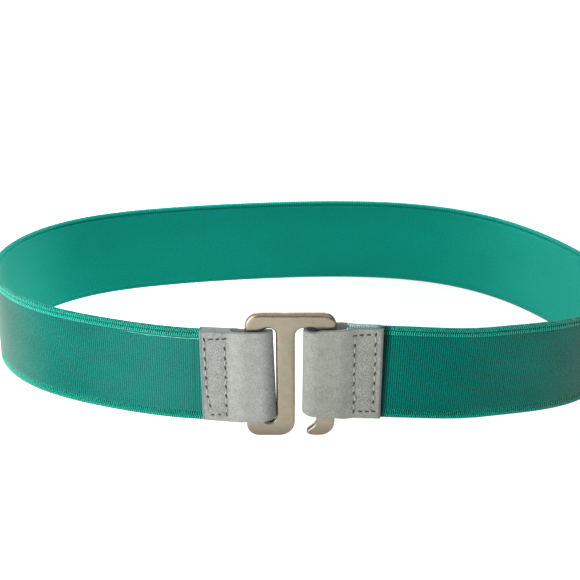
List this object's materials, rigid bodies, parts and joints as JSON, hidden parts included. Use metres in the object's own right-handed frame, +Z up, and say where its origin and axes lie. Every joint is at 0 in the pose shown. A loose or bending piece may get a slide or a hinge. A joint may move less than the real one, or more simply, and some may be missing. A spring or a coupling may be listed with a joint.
{
  "type": "elastic stretch belt",
  "caption": "Wide elastic belt fastened into an oval loop by a flat hook buckle held in two folded, stitched leather tabs.",
  "frame": {"origin": "on the surface that the belt stands on, under the middle of its bounding box", "axes": "+X along the loop's length, to the viewer's right when facing the buckle; +Y from the buckle to the back of the loop; +Z up, across the band's width"},
  "size_m": [0.2908, 0.1468, 0.0616],
  "materials": {
    "elastic_band": "teal woven elastic with fine ribs, satin sheen and two rounded selvage cords along each edge",
    "left_tab": "pale grey matte leather with a fine grain and painted edges",
    "right_tab": "grey matte leather with a fine grain and painted edges",
    "hook_buckle": "satin nickel casting, warm grey, with softly rounded edges"
  },
  "bodies": {
    "root": {"elastic_band": "elastic_band", "left_tab": "left_tab", "right_tab": "right_tab", "hook_buckle": "hook_buckle"}
  },
  "joints": []
}
